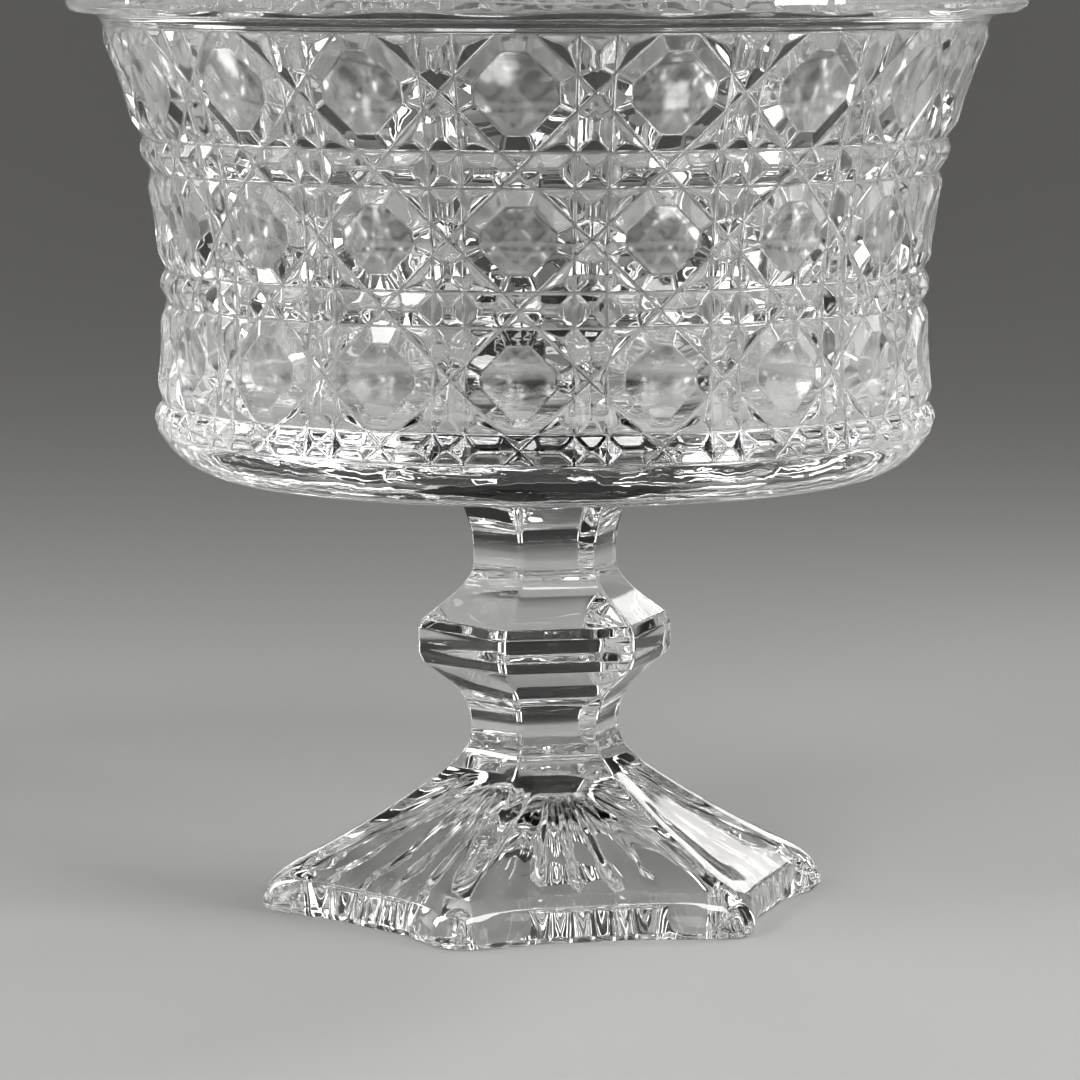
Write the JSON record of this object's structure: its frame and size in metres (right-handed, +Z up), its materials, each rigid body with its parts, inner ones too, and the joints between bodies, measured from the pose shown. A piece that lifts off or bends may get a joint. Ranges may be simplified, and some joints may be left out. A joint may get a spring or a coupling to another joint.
{
  "type": "pedestal bowl",
  "caption": "Clear crystal pedestal bowl: drum bowl with octagon cane cutting and an out-turned rim, bonded to a hexagonal knopped stem with a hollow lobed foot.",
  "frame": {"origin": "middle of the foot's rest face, on the axis of the bowl", "axes": "+Z up along the axis of bowl and stem, -Y through the middle of an octagon of the cut pattern (the front)"},
  "size_m": [0.2494, 0.248, 0.2403],
  "materials": {
    "crystal": "clear, polished, pressed and cut",
    "bond_film": "clear cured adhesive film"
  },
  "bodies": {
    "root": {"bowl": "crystal", "bond": "bond_film", "pedestal": "crystal"}
  },
  "joints": []
}
